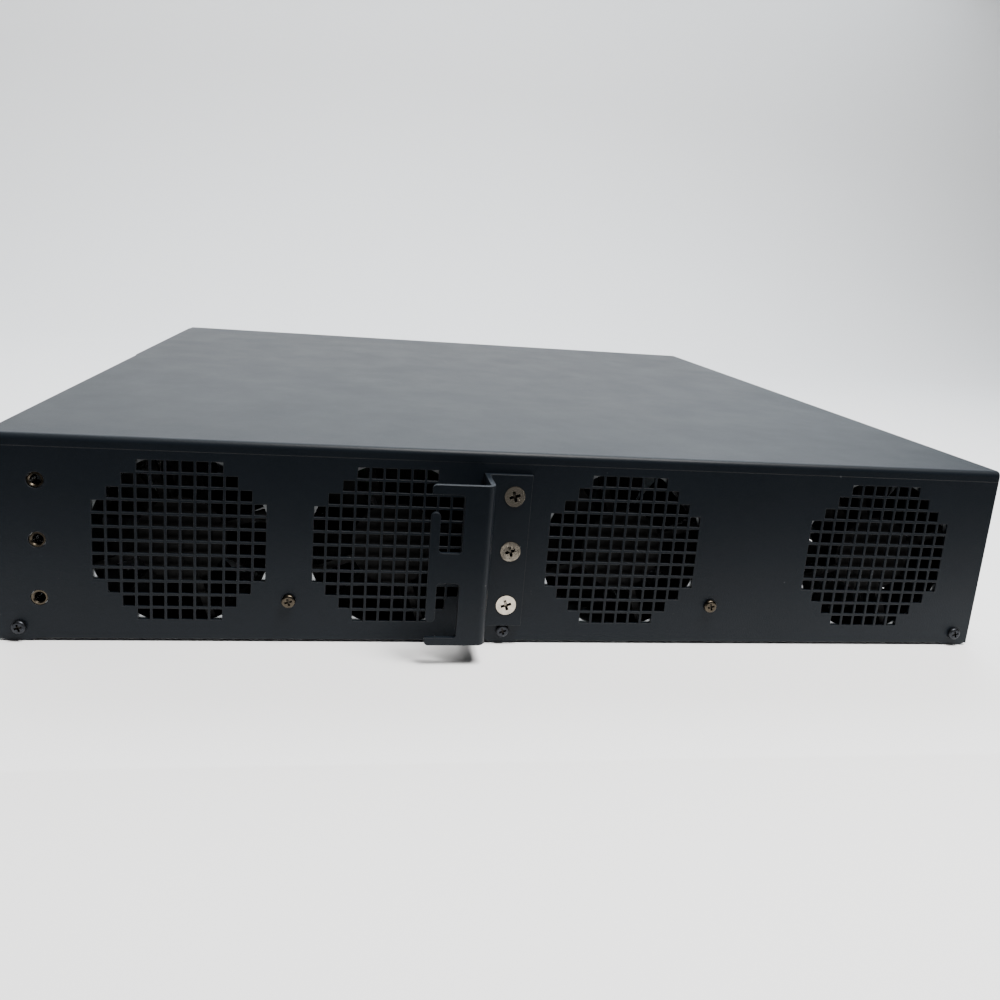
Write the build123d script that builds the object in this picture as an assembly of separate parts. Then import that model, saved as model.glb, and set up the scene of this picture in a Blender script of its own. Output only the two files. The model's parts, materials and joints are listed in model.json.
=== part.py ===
from build123d import *
import os
from math import cos, radians, sin

os.makedirs("parts", exist_ok=True)

# A two-unit rack appliance, in millimetres. X runs across the rack, -Y is the front, +Z is up.
# Shapes are built about the middle of the chassis and moved by chassis_y when they are written,
# so that the origin is the middle of the whole footprint, on the resting surface.

# Chassis
body_w = 444.5
body_d = 446.0
body_h = 87.0
pad_t = 1.2
sheet = 1.2
gap = 0.15
cover_bend = 2.4
front_proud = 11.0
rear_proud = 20.0
chassis_y = (front_proud - rear_proud) / 2

side_x = body_w / 2
front_y = -body_d / 2
rear_y = body_d / 2
base_z = pad_t
top_z = base_z + body_h
floor_z = base_z + sheet
tray_x = side_x - sheet - gap
wall_x = tray_x - sheet
tray_top = top_z - cover_bend
tray_y = (front_y + 2.2, rear_y - 1.8)
seam_z = top_z - 5.0

# Front and rear panels, which stand between the tray's walls
panel_x = wall_x - 0.3
panel_z = floor_z + 0.3
front_t = 2.0
rear_t = 1.6
cut_over = 1.0
front_vents = (84.0, 46.0, 20, 6)
rear_vents = (-118.0, 24.0, 26, 8)

# Grilles and fans
fan_y = (-148.8, -60.0, 42.3, 166.1)
fan_z = base_z + 43.4
grille_rows = (6, 8, 10, 12, 12, 12, 12, 12, 12, 10, 8, 6)
grille_pitch = 5.86
grille_hole = 4.84
wall_opening_r = 37.0
fan_w = 80.0
fan_t = 25.0
fan_bore_r = 38.0
fan_wall = 1.6
fan_flange = 4.0
fan_corner_r = 5.0
fan_hole = 35.75
fan_hole_r = 2.15
fan_spokes = (20, 110, 200, 290)
fan_spoke_x = (fan_t - 3.0, fan_t - 0.2)
fan_hub_r = 18.0
fan_shaft_r = 1.5
root_pitch = 46
tip_pitch = 30
blade_t = 1.2
fan_bearing_r = 3.5
fan_x = wall_x - fan_t
cable_turn_y = (-88.0, -30.0, 15.0, 56.0)
cable_r = 1.3

# Fasteners in the side
ear_hole_z = tuple(base_z + 43.0 + i * 25.1 for i in (-1, 0, 1))
front_hole_y = -204.4
ear_hole_y = -9.6
ear_hole_r = 3.45
nut_bore_r = 2.1
nut_neck_r = 3.15
nut_body_r = 4.35
nut_body_l = 4.5
nut_chamfer = 0.5
nut_face_x = side_x - 0.3
wall_hole_r = 3.2
bracket_screw_y = (-104.2, 87.0)
bracket_screw_z = base_z + 17.9
cover_screw_y = (-212.5, -10.0, 215.0)
cover_screw_z = base_z + 5.1
lobe_w = 14.0
lobe_d = 0.9
screw_r = 1.45
hole_r = 1.7

# Rack ears
ear_t = 2.0
ear_out = 22.0
ear_bend = 1.5
ear_web_y = -23.2
ear_side_w = 21.0
ear_z0 = base_z + 8.0
ear_z1 = base_z + 77.6
finger_len = 24.0
finger_w = 4.0
pocket_w = 9.4
pockets = ((11.3, 35.6), (48.6, 73.6))
finger_gaps = ((11.3, 18.5), (65.9, 73.6))
slot_x = 232.55
slot_half_z = 22.225
slot_w = 10.3
slot_h = 6.8
pocket_r = 1.4
finger_tip_r = 1.9
ear_screw_hole_r = 2.7
countersink_r = 4.6
countersink_depth = 1.8

# Main board
board_x = (-120.0, 112.0)
board_y = (-219.0, 60.0)
board_t = 1.6
board_z = floor_z + 6.0
board_top = board_z + board_t
standoff_x = (-112.0, -4.0, 104.0)
standoff_y = (-190.0, -70.0, 52.0)
bank_x = (40.0, 52.0, 64.0, 76.0)
bank_y = (-140.0, 0.0)
bank_wall = 3.2

# Front sockets and lights on the main board
socket_y = front_y + 0.4
socket_gap = 0.2
console_x = (16.0, 37.0)
console_w = 16.0
console_h = 13.8
usb_x = 58.0
usb_w = 14.4
usb_h = 15.6
light_x = (-20.0, -14.0, -8.0, -2.0)
light_z = board_top + 7.0
light_r = 1.5

# Network module
module_x = (-218.5, -31.5)
module_t = 3.0
module_z = (base_z + 2.5, base_z + 86.0)
module_board_x = (-211.0, -39.0)
module_board_z = 30.0
module_cut_z = (14.0, 78.0)
module_socket_z = module_board_z + board_t
module_socket_y = front_y - module_t + 0.4
thumbscrew_x = (module_x[0] + 8.0, module_x[1] - 8.0)
thumbscrew_z = module_z[0] + 8.0
rj_w = 14.2
rj_h = 13.5
rj_open_w = 11.8
rj_open_h = 8.4
rj_x0 = -202.0
sfp_x = (-112.0, -94.0, -76.0, -58.0)
sfp_w = 14.2
sfp_h = 11.5
sfp_l = 48.0

# Power supplies
psu_x = -217.5
psu_w = 76.0
psu_case_w = 72.5
psu_h = 39.4
psu_l = 185.0
psu_z = (floor_z + 0.9, floor_z + 42.3)
psu_wall = 1.0
psu_fan_x = 19.5
psu_fan_r = 18.2
inlet_x = (44.5, 65.0)
inlet_z = (5.5, 34.0)
inlet_pins = ((51.6, 13.0), (51.6, 26.6), (55.6, 19.8))
pin_half = (2.0, 1.0)
handle_x = (38.2, 41.2)
handle_end = 4.0
latch_pivot = (72.6, -26.0)
latch_pin_r = 1.0

# Drive bay
bay_x = (114.0, 187.8)
bay_z = (4.2, 18.0)
tray_l = 112.0
lever_pivot = (bay_x[0] + 4.8, front_y - 4.2)
lever_z = (7.0, 15.4)

# Mains switch
switch_x = 100.0
switch_z = 30.0
switch_half = (6.5, 9.5)
rocker_axis_y = rear_y - 0.5
rocker_tilt = 10.0
rocker_pin_r = 1.0
stud_x = 150.0
stud_z = 18.0
stud_r = 2.5


def block(x0, x1, y0, y1, z0, z1):
    """A box given by its limits."""
    return Pos((x0 + x1) / 2, (y0 + y1) / 2, (z0 + z1) / 2) * Box(x1 - x0, y1 - y0, z1 - z0)


def rod_x(y, z, r, x0, x1):
    return Pos((x0 + x1) / 2, y, z) * Rot(0, 90, 0) * Cylinder(r, x1 - x0)


def rod_y(x, z, r, y0, y1):
    return Pos(x, (y0 + y1) / 2, z) * Rot(-90, 0, 0) * Cylinder(r, y1 - y0)


def rod_z(x, y, r, z0, z1):
    return Pos(x, y, (z0 + z1) / 2) * Cylinder(r, z1 - z0)


def save(name, *shapes):
    """Writes one node: a single solid, or a group of separate solids."""
    solids = [s for shape in shapes for s in shape.solids()]
    whole = solids[0] if len(solids) == 1 else Compound(solids)
    export_step(Pos(0, chassis_y, 0) * whole, f"parts/{name}.step")


def mirrored(shape):
    return mirror(shape, about=Plane.YZ)


def grille_cells(y, z):
    """Centres of the square holes of one octagonal grille."""
    middle = (len(grille_rows) - 1) / 2
    for row, count in enumerate(grille_rows):
        for column in range(count):
            yield y + (column - (count - 1) / 2) * grille_pitch, z + (middle - row) * grille_pitch


def square_wire(x, y, z, size):
    h = size / 2
    corners = [(x, y - h, z - h), (x, y + h, z - h), (x, y + h, z + h), (x, y - h, z + h)]
    return Wire.make_polygon(corners, close=True)


def circle_wire(x, y, z, r):
    return Wire.make_circle(r, Plane(origin=(x, y, z), x_dir=(0, 1, 0), z_dir=(1, 0, 0)))


def side_sheet(x, with_fans):
    """One perforated side of the cover, below the seam, with a lobe under each cover screw."""
    outline = [(x, rear_y, seam_z), (x, front_y, seam_z), (x, front_y, base_z)]
    for y in cover_screw_y:
        outline += [(x, y - lobe_w / 2, base_z), (x, y - lobe_w / 3, base_z - lobe_d)]
        outline += [(x, y + lobe_w / 3, base_z - lobe_d), (x, y + lobe_w / 2, base_z)]
    outline.append((x, rear_y, base_z))
    holes = [square_wire(x, y, z, grille_hole) for fan in fan_y for y, z in grille_cells(fan, fan_z)]
    holes += [circle_wire(x, y, z, ear_hole_r) for y in (front_hole_y, ear_hole_y) for z in ear_hole_z]
    holes += [circle_wire(x, y, cover_screw_z, hole_r) for y in cover_screw_y]
    if with_fans:
        holes += [circle_wire(x, y, bracket_screw_z, hole_r) for y in bracket_screw_y]
    return Solid.extrude(Face(Wire.make_polygon(outline, close=True), holes), Vector(sheet, 0, 0))


def top_cover():
    """The folded cover as a roof with its two bends, and two flat sides that meet it edge to edge."""
    x, over = side_x - sheet, cut_over
    outer = block(-side_x, side_x, front_y, rear_y, seam_z, top_z)
    outer = fillet(outer.edges().filter_by(Axis.Y).group_by(Axis.Z)[-1], cover_bend)
    inner = block(-x, x, front_y - over, rear_y + over, seam_z - over, top_z - sheet)
    inner = fillet(inner.edges().filter_by(Axis.Y).group_by(Axis.Z)[-1], cover_bend - sheet)
    return [outer - inner, side_sheet(x, True), side_sheet(-side_x, False)]


def tray_wall(x, with_fans):
    """A side wall of the tray, with the round fan openings."""
    y0, y1 = tray_y
    outline = [(x, y0, floor_z), (x, y1, floor_z), (x, y1, tray_top), (x, y0, tray_top)]
    holes = [circle_wire(x, y, fan_z, wall_opening_r) for y in fan_y]
    holes += [circle_wire(x, y, z, wall_hole_r) for y in (front_hole_y, ear_hole_y) for z in ear_hole_z]
    holes += [circle_wire(x, y, cover_screw_z, screw_r + 0.05) for y in cover_screw_y]
    if with_fans:
        holes += [circle_wire(x, y, bracket_screw_z, hole_r) for y in bracket_screw_y]
        for y in fan_y:
            holes += [circle_wire(x, y + a, fan_z + b, fan_hole_r) for a, b in corners(fan_hole)]
    return Solid.extrude(Face(Wire.make_polygon(outline, close=True), holes), Vector(sheet, 0, 0))


def corners(half):
    return [(a, b) for a in (-half, half) for b in (-half, half)]


def base_tray():
    """The folded tray as a floor and two walls that stand on it edge to edge."""
    floor = block(-tray_x, tray_x, *tray_y, base_z, floor_z)
    return [floor, tray_wall(wall_x, True), tray_wall(-tray_x, False)]


def vent_field(x0, z0, columns, rows, y):
    """Square cutters for a block of vent holes in a front or rear panel."""
    cell = Box(grille_hole, 4 * front_t, grille_hole)
    return [Pos(x0 + (i + 0.5) * grille_pitch, y, z0 + (j + 0.5) * grille_pitch) * cell
            for i in range(columns) for j in range(rows)]


def window(x, half_w, y, z0, z1):
    """A cutter for a rectangular opening in the panel at y, centred on x."""
    return block(x - half_w, x + half_w, y - 2 * front_t, y + 2 * front_t, z0, z1)


def front_panel():
    panel = block(-panel_x, panel_x, front_y, front_y + front_t, panel_z, tray_top)
    low = board_top - socket_gap
    module_w = module_board_x[1] - module_board_x[0]
    cuts = [window(module_board_x[0] + module_w / 2, module_w / 2, front_y, *module_cut_z)]
    high = board_top + 0.4
    cuts += [window(x, console_w / 2 + socket_gap, front_y, low, high + console_h) for x in console_x]
    cuts.append(window(usb_x, usb_w / 2 + 0.4, front_y, low, high + usb_h))
    cuts += [rod_y(x, light_z, light_r + 0.1, front_y - 1, front_y + front_t + 1) for x in light_x]
    cuts.append(window(sum(bay_x) / 2, (bay_x[1] - bay_x[0]) / 2, front_y, *bay_z))
    return panel - cuts - vent_field(*front_vents, front_y)


def rear_panel():
    panel = block(-panel_x, panel_x, rear_y - rear_t, rear_y, panel_z, tray_top)
    cuts = [window(psu_x + psu_w / 2, psu_w / 2 + 0.8, rear_y, floor_z + 0.4, tray_top - 1.2)]
    cuts.append(window(switch_x, switch_half[0] + 0.1, rear_y, switch_z - switch_half[1] - 0.1,
                       switch_z + switch_half[1] + 0.1))
    cuts.append(rod_y(stud_x, stud_z, stud_r + 0.1, rear_y - rear_t - 1, rear_y + 1))
    return panel - cuts - vent_field(*rear_vents, rear_y)


def edges_at(shape, axis, *places):
    """The edges of a shape along an axis whose middles project onto the given places."""
    found = []
    for edge in shape.edges().filter_by(axis):
        x, y, z = edge.center()
        here = (x, y) if axis == Axis.Z else (y, z)
        if any(abs(here[0] - a) < 0.01 and abs(here[1] - b) < 0.01 for a, b in places):
            found.append(edge)
    return found


def rack_ear():
    """Z-shaped bracket: side flange, web with two rack slots, outer flange with cable fingers."""
    x0, x1 = side_x, side_x + ear_out
    y0, y1 = ear_web_y, ear_web_y + ear_t
    free_y = y0 - finger_len
    ear = block(x0, x0 + ear_t, y0, y0 + ear_side_w, ear_z0, ear_z1)
    ear += block(x0, x1, y0, y1, ear_z0, ear_z1)
    ear += block(x1 - ear_t, x1, free_y, y1, ear_z0, ear_z1)
    ear = fillet(edges_at(ear, Axis.Z, (x1, y1)), ear_t + ear_bend)
    ear = fillet(edges_at(ear, Axis.Z, (x1 - ear_t, y0), (x0 + ear_t, y1)), ear_bend)
    pocket_y = free_y + finger_w
    for z0, z1 in pockets:
        cut = block(x1 - 2 * ear_t, x1 + 1, pocket_y, pocket_y + pocket_w, base_z + z0, base_z + z1)
        ear -= fillet(cut.edges().filter_by(Axis.X), pocket_r)
    for z0, z1 in finger_gaps:
        ear -= block(x1 - 2 * ear_t, x1 + 1, free_y - 1, pocket_y + 0.5, base_z + z0, base_z + z1)
    tips = [(free_y, z) for z in (ear_z0, ear_z1, base_z + finger_gaps[0][1], base_z + finger_gaps[1][0])]
    tips += [(pocket_y, z) for z in (base_z + finger_gaps[0][1], base_z + finger_gaps[1][0])]
    ear = fillet(edges_at(ear, Axis.X, *tips), finger_tip_r)
    for side in (-1, 1):
        z = (ear_z0 + ear_z1) / 2 + side * slot_half_z
        slot = block(slot_x - slot_w / 2, slot_x + slot_w / 2, y0 - 1, y1 + 1, z - slot_h / 2, z + slot_h / 2)
        ear -= fillet(slot.edges().filter_by(Axis.Y), slot_h / 2 - 0.01)
    sink_x = x0 + ear_t - countersink_depth
    for z in ear_hole_z:
        ear -= rod_x(ear_hole_y, z, ear_screw_hole_r, x0 - 1, x0 + ear_t + 1)
        sink = Cone(ear_screw_hole_r, countersink_r, countersink_depth)
        ear -= Pos(sink_x + countersink_depth / 2, ear_hole_y, z) * Rot(0, 90, 0) * sink
    return ear


def phillips(x, y, z, size, depth):
    """A cross-shaped recess cutter in a head that faces +X."""
    arm = Box(depth * 2, size, size * 0.26)
    return Pos(x, y, z) * (Rot(17, 0, 0) * (arm + Rot(90, 0, 0) * arm))


def countersunk_screw(y, z):
    """An ear screw whose head fills the countersink and stands a little proud of it."""
    x = side_x + ear_t - countersink_depth
    rim_x = x + countersink_depth
    head = Pos(x + countersink_depth / 2, y, z) * Rot(0, 90, 0) * Cone(2.5, 4.5, countersink_depth)
    head += rod_x(y, z, 4.5, rim_x, rim_x + 0.3)
    shank = rod_x(y, z, nut_bore_r - 0.05, wall_x - 3.5, x + 0.4)
    return head + shank - phillips(rim_x + 0.3, y, z, 4.8, 1.7)


def pan_screw(x, y, z, head_r, shank_r, length):
    """A pan-head screw that stands on the plane X = x and points inwards."""
    head = rod_x(y, z, head_r, x, x + 1.9)
    head = fillet(head.edges().group_by(Axis.X)[-1], 1.0)
    return head + rod_x(y, z, shank_r, x - length, x + 0.2) - phillips(x + 1.9, y, z, head_r * 1.1, 1.0)


def ear_nut(y, z):
    """A clinch nut whose neck passes through the tray's wall into the hole of the cover."""
    nut = rod_x(y, z, nut_neck_r, wall_x, nut_face_x) + rod_x(y, z, nut_body_r, wall_x - nut_body_l, wall_x)
    nut -= rod_x(y, z, nut_bore_r, wall_x - nut_body_l - 1, nut_face_x + 1)
    mouth = Cone(nut_bore_r, nut_bore_r + nut_chamfer, nut_chamfer)
    return nut - Pos(nut_face_x - nut_chamfer / 2, y, z) * Rot(0, 90, 0) * mouth


def fan_frame():
    """Fan housing about the X axis, from x = 0 inside to x = fan_t against the wall."""
    frame = rod_x(0, 0, fan_bore_r + fan_wall, 0, fan_t)
    for x0 in (0, fan_t - fan_flange):
        flange = block(x0, x0 + fan_flange, -fan_w / 2, fan_w / 2, -fan_w / 2, fan_w / 2)
        frame += fillet(flange.edges().filter_by(Axis.X), fan_corner_r)
    frame -= rod_x(0, 0, fan_bore_r, -1, fan_t + 1)
    for y, z in corners(fan_hole):
        frame -= rod_x(y, z, fan_hole_r, -1, fan_t + 1)
    spoke = block(*fan_spoke_x, fan_hub_r - 2, fan_bore_r + 0.5, -fan_wall, fan_wall)
    for angle in fan_spokes:
        frame += Rot(angle, 0, 0) * spoke
    frame += rod_x(0, 0, fan_hub_r + 0.5, *fan_spoke_x)
    frame += rod_x(0, 0, fan_bearing_r, 7, fan_spoke_x[0])
    return frame - rod_x(0, 0, fan_shaft_r + 0.05, 6, fan_spoke_x[0])


def fan_stator():
    """Four wound poles around the bearing tube."""
    ring = rod_x(0, 0, 2 * fan_bearing_r, 8, 18) - rod_x(0, 0, fan_bearing_r, 7, 19)
    for angle in (0, 90, 180, 270):
        ring += Rot(angle, 0, 0) * block(9, 17, 6, 14.5, -3.5, 3.5)
    return ring


def blade(root_r, tip_r, x, root_chord, tip_chord):
    """One pitched blade that stands along +Z."""
    sections = []
    for r, chord, pitch in ((root_r, root_chord, root_pitch), (tip_r, tip_chord, tip_pitch)):
        along = (sin(radians(pitch)), cos(radians(pitch)), 0)
        sections.append(Plane(origin=(x, 0, r), x_dir=along, z_dir=(0, 0, 1)) * Rectangle(chord, blade_t))
    return loft(sections)


def fan_rotor(hub_r, root_r, tip_r, x0, x1, shaft_x, blades, chords):
    """Cup-shaped hub with its shaft and blades, about the X axis."""
    rotor = rod_x(0, 0, hub_r, x0, x1) - rod_x(0, 0, hub_r - 1.5, x0 + 2, x1 + 1)
    rotor += rod_x(0, 0, fan_shaft_r, x0 + 1, shaft_x)
    for i in range(blades):
        rotor += Rot(360 / blades * i, 0, 0) * blade(root_r, tip_r, (x0 + x1) / 2, *chords)
    return rotor


def fan_bracket(y):
    """Sheet retainer: foot on the wall, web beside the fan, flange behind it."""
    foot = block(wall_x - 1, wall_x, y - 4, y + 3.6, base_z + 8, base_z + 78)
    web = block(fan_x - 1.4, wall_x - 1, y - 4, y - 3, base_z + 15, base_z + 71)
    flange = block(fan_x - 1.4, fan_x - 0.4, y - 18, y - 4, base_z + 15, base_z + 71)
    return foot + web + flange - rod_x(y, bracket_screw_z, screw_r + 0.05, wall_x - 2, wall_x + 1)


def fan_screw(y, z):
    head = rod_x(y, z, 3.4, fan_x - 2.2, fan_x)
    return head + rod_x(y, z, 1.9, fan_x - 0.2, wall_x + 1.0) - phillips(fan_x - 2.2, y, z, 3.8, 1.2)


def main_board():
    board = block(*board_x, *board_y, board_z, board_top)
    return board - [rod_z(x, y, 1.7, 0, 20) for x in standoff_x for y in standoff_y]


def standoff(x, y):
    return rod_z(x, y, 3.0, floor_z, board_z) - rod_z(x, y, 1.4, floor_z + 1, board_z + 1)


def board_screw(x, y, z):
    return rod_z(x, y, 2.9, z, z + 1.8) + rod_z(x, y, 1.3, z - 5, z + 0.2)


def finned_sink(x, y, z, w, l, h, fins):
    """A heat sink whose fins run along Y."""
    pitch = (w - 1.0) / (fins - 1)
    points = [(-w / 2, 0), (w / 2, 0)]
    for i in range(fins - 1, -1, -1):
        left = -w / 2 + i * pitch
        points += [(left + 1.0, h), (left, h)]
        if i:
            points += [(left, 3.5), (left - pitch + 1.0, 3.5)]
    end = Plane(origin=(x, y + l / 2, z), x_dir=(1, 0, 0), z_dir=(0, -1, 0))
    return extrude(make_face(end * Polyline(*points, close=True)), l)


def rj45_port(x, y, z, w, h, rows, columns):
    """A jack or a block of jacks, whose mouths face -Y."""
    jack = block(x, x + w, y, y + 21, z, z + h)
    for row in range(rows):
        for column in range(columns):
            cx = x + w / columns * (column + 0.5)
            cz = z + h / rows * (row + 0.5)
            jack -= block(cx - rj_open_w / 2, cx + rj_open_w / 2, y - 1, y + 14,
                          cz - rj_open_h / 2, cz + rj_open_h / 2)
    return jack


def usb_ports():
    """Two stacked USB sockets with their tongues."""
    x, y, z = usb_x, socket_y, board_top
    ports = block(x - usb_w / 2, x + usb_w / 2, y, y + 17.5, z, z + usb_h)
    for z0 in (z + 1.2, z + 8.8):
        ports -= block(x - 6.3, x + 6.3, y - 1, y + 12, z0, z0 + 5.4)
        ports += block(x - 5.6, x + 5.6, y + 1, y + 12.2, z0 + 3.1, z0 + 4.9)
    return ports


def light_pipe(x):
    lens = rod_y(x, light_z, light_r, front_y - 0.4, front_y + 9)
    return lens + block(x - light_r, x + light_r, front_y + 6, front_y + 9, board_top, light_z)


def module_faceplate():
    plate = block(*module_x, front_y - module_t, front_y, *module_z)
    plate = chamfer(plate.edges().group_by(Axis.Y)[0], 0.4)
    low = module_socket_z - socket_gap
    rj_half = 2 * rj_w
    cuts = [window(rj_x0 + rj_half, rj_half + 0.3, front_y, low, module_socket_z + 2 * rj_h + 0.3)]
    cuts += [window(x, sfp_w / 2 + 0.3, front_y, low, module_socket_z + sfp_h + 0.4) for x in sfp_x]
    cuts += [rod_y(x, thumbscrew_z, 2.7, front_y - module_t - 1, front_y + 1) for x in thumbscrew_x]
    return plate - cuts


def module_board():
    return block(*module_board_x, front_y + 1, front_y + 110, module_board_z, module_socket_z)


def sfp_cage(x):
    """A folded cage, open to the front, for one pluggable transceiver."""
    y, z = module_socket_y, module_socket_z
    half, wall = sfp_w / 2, 0.3
    cage = block(x - half, x + half, y, y + sfp_l, z, z + sfp_h)
    return cage - block(x - half + wall, x + half - wall, y - 1, y + sfp_l - 2, z + 0.6, z + sfp_h - 0.4)


def thumbscrew(x):
    """A captive screw with a knurled knob, in front of the module's plate."""
    y, z = front_y - module_t, thumbscrew_z
    knob_r, knob_l = 4.5, front_proud - module_t
    knob = fillet(rod_y(x, z, knob_r, y - knob_l, y - 1).edges(), 0.6)
    for angle in range(0, 360, 30):
        dx, dz = (knob_r + 0.2) * cos(radians(angle)), (knob_r + 0.2) * sin(radians(angle))
        knob -= rod_y(x + dx, z + dz, 0.6, y - knob_l - 1, y)
    return knob + rod_y(x, z, 2.5, y - 1.2, y + 2.9)


def chip(x, y, w, h=2.0):
    return block(x - w / 2, x + w / 2, y - w / 2, y + w / 2, board_top, board_top + h)


def memory_socket(x):
    y0, y1 = bank_y
    socket = block(x - 3.2, x + 3.2, y0, y1, board_top, board_top + 8)
    return socket - block(x - 0.75, x + 0.75, y0 + bank_wall, y1 - bank_wall, board_top + 2, board_top + 9)


def memory_module(x):
    y0, y1, z = bank_y[0] + bank_wall + 0.1, bank_y[1] - bank_wall - 0.1, board_top + 2
    module = block(x - 0.6, x + 0.6, y0, y1, z, z + 30)
    for i in range(8):
        y = y0 + 12 + i * 15.2
        module += block(x - 1.6, x + 1.6, y - 5, y + 5, z + 13, z + 24)
    return module


def psu_cage():
    x0, x1 = -wall_x + 0.2, psu_x + psu_w + 0.9
    y0, y1 = rear_y - psu_l - 4, rear_y - 1.7
    wall = block(x1, x1 + 1, y0, y1, floor_z, 85)
    shelf_z = (psu_z[0] + psu_h + psu_z[1]) / 2
    shelf = block(x0, x1, y0, y1, shelf_z - 0.5, shelf_z + 0.5)
    return wall + shelf + block(x1 + 1, x1 + 10, y0, y1, floor_z, floor_z + 1)


def psu_backplane():
    x0, x1 = psu_x, psu_x + psu_w
    y = rear_y - psu_l - 10
    plane = block(x0, x1, y - board_t, y, floor_z + 1, 84)
    for z in psu_z:
        plane += block(x0 + 15, x0 + 60, y, y + 8.5, z + 14, z + 26)
    return plane


def psu_case():
    """A supply with its outer face at y = 0 and its lower left edge on the Y axis."""
    w, t, z = psu_case_w, psu_wall, psu_h / 2
    latch_bay = block(w - 4.3, w + 1, -32, 1, 9, 30)
    case = block(0, w, -psu_l, 0, 0, psu_h)
    case -= block(t, w - 5.5, -psu_l + t, -t, t, psu_h - t)
    case -= block(w - 6.5, w - t, -psu_l + t, -40, t, psu_h - t)
    case -= latch_bay
    case -= rod_y(psu_fan_x, z, psu_fan_r, -2, 1)
    for r in (6.0, 12.0):
        case += rod_y(psu_fan_x, z, r + 0.6, -t, 0) - rod_y(psu_fan_x, z, r - 0.6, -2, 1)
    for angle in (45, -45):
        case += Pos(psu_fan_x, -t / 2, z) * Rot(0, angle, 0) * Box(2 * psu_fan_r + 1.1, t, 1.2)
    motor = rod_y(psu_fan_x, z, 7.5, -3, -t) + rod_y(psu_fan_x, z, 3, -14.4, -3)
    case += motor - rod_y(psu_fan_x, z, fan_shaft_r + 0.05, -17, -3)
    case -= block(inlet_x[0] - 0.3, inlet_x[1] + 0.2, -2, 1, inlet_z[0] - 0.3, inlet_z[1] + 0.2)
    x, y = latch_pivot
    return case + rod_z(x, y, latch_pin_r, 8.5, 30.5)


def psu_handle():
    bar = block(*handle_x, 0, rear_proud, handle_end, psu_h - handle_end)
    bar = fillet(bar.edges().filter_by(Axis.X).group_by(Axis.Y)[-1], 5)
    hole = block(handle_x[0] - 1, handle_x[1] + 1, -1, 15.5, handle_end + 5, psu_h - handle_end - 5)
    return bar - fillet(hole.edges().filter_by(Axis.X).group_by(Axis.Y)[-1], 3)


def psu_latch():
    """A springy tab on a pin, with a catch on its outer side."""
    x, y = latch_pivot
    z0, z1, half_t = 12, 27, 0.6
    latch = rod_z(x, y, 2.2, z0 - 2, z1 + 2) + block(x - half_t, x + half_t, y + 1, 13, z0, z1)
    latch += block(x - half_t, x + 2.8, 11, 13, z0, z1)
    latch += block(x + half_t - 0.1, x + 2.6, -18, -12, z0 + 3, z1 - 3)
    return latch - rod_z(x, y, latch_pin_r + 0.05, z0 - 4, z1 + 5)


def psu_inlet():
    """Recessed three-pin mains inlet, standing on end."""
    (x0, x1), (z0, z1) = inlet_x, inlet_z
    body = block(x0, x1, -19, 0.2, z0, z1)
    body += block(x0 - 1.3, x1 + 1.2, 0, 1.2, z0 - 1.3, z1 + 1.2)
    cavity = block(x0 + 2.5, x1 - 2.5, -16, 2, z0 + 2, z1 - 2)
    body -= chamfer(cavity.edges().filter_by(Axis.Y).group_by(Axis.X)[0], 4)
    for x, z in inlet_pins:
        body -= block(x - pin_half[0], x + pin_half[0], -18, -15, z - pin_half[1], z + pin_half[1])
    return body


def psu_pins():
    half_x, half_z = pin_half
    return [block(x - half_x, x + half_x, -18, -3, z - half_z, z + half_z) for x, z in inlet_pins]


def psu_rotor():
    rotor = fan_rotor(8.5, 8, 16.6, 0, 12, 13.0, 5, (9, 13))
    return Pos(psu_fan_x, -17.0, psu_h / 2) * Rot(0, 0, 90) * rotor


def drive_cage():
    """An inverted channel on the tray's floor, closed at its back, with a window in its roof."""
    x0, x1 = bay_x[0] - 0.8, bay_x[1] + 0.8
    y0, y1, roof = front_y + front_t + 0.1, front_y + 118, bay_z[1] + 0.8
    cage = block(x0, x1, y0, y1, floor_z, roof)
    cage -= block(x0 + 1, x1 - 1, y0 - 1, y1 - 1, floor_z - 1, roof - 1)
    return cage - block(x0 + 20, x1 - 20, y0 - 1, y1 - 20, roof - 2, roof + 1)


def drive_tray():
    """A channel that carries the drive, with a bezel and the lever's two knuckles and pin."""
    x0, x1 = bay_x[0] + 0.7, bay_x[1] - 0.7
    y0, y1 = front_y - 0.2, front_y + tray_l
    tray = block(x0, x1, y0, y1, 5.0, 6.0)
    for x in (x0, x1 - 1):
        tray += block(x, x + 1, y0, y1, 6, 14)
    bezel = block(bay_x[0] - 0.6, bay_x[1] + 0.6, y0 - 2, y0, 3.8, 20)
    bezel -= [block(x - 2, x + 2, y0 - 3, y0 + 1, 16.2, 18.2) for x in range(126, 186, 8)]
    x, y = lever_pivot
    for z0, z1 in ((4.6, 6.6), (17.0, 19.0)):
        bezel += block(x - 3, x + 3, y - 1.8, y0 - 1.8, z0, z1)
    return tray + bezel + rod_z(x, y, latch_pin_r, 5, 18)


def drive_lever():
    x, y = lever_pivot
    lever = rod_z(x, y, 1.6, *lever_z) + block(x, bay_x[1] - 5, y - 1.4, y + 1.2, *lever_z)
    lever = fillet(lever.edges().filter_by(Axis.Z).group_by(Axis.X)[-1], 1.0)
    return lever - rod_z(x, y, latch_pin_r + 0.05, lever_z[0] - 1, lever_z[1] + 1)


def switch_housing():
    x, z = switch_x, switch_z
    half_x, half_z = switch_half
    body = block(x - half_x, x + half_x, rear_y - 18, rear_y, z - half_z, z + half_z)
    body += block(x - half_x - 1, x + half_x + 1, rear_y, rear_y + 2, z - half_z - 1, z + half_z + 1)
    body -= block(x - 4.3, x + 4.3, rear_y - 6, rear_y + 3, z - 7.4, z + 7.4)
    return body - rod_x(rocker_axis_y, z, rocker_pin_r + 0.05, x - 5.4, x + 5.4)


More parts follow.
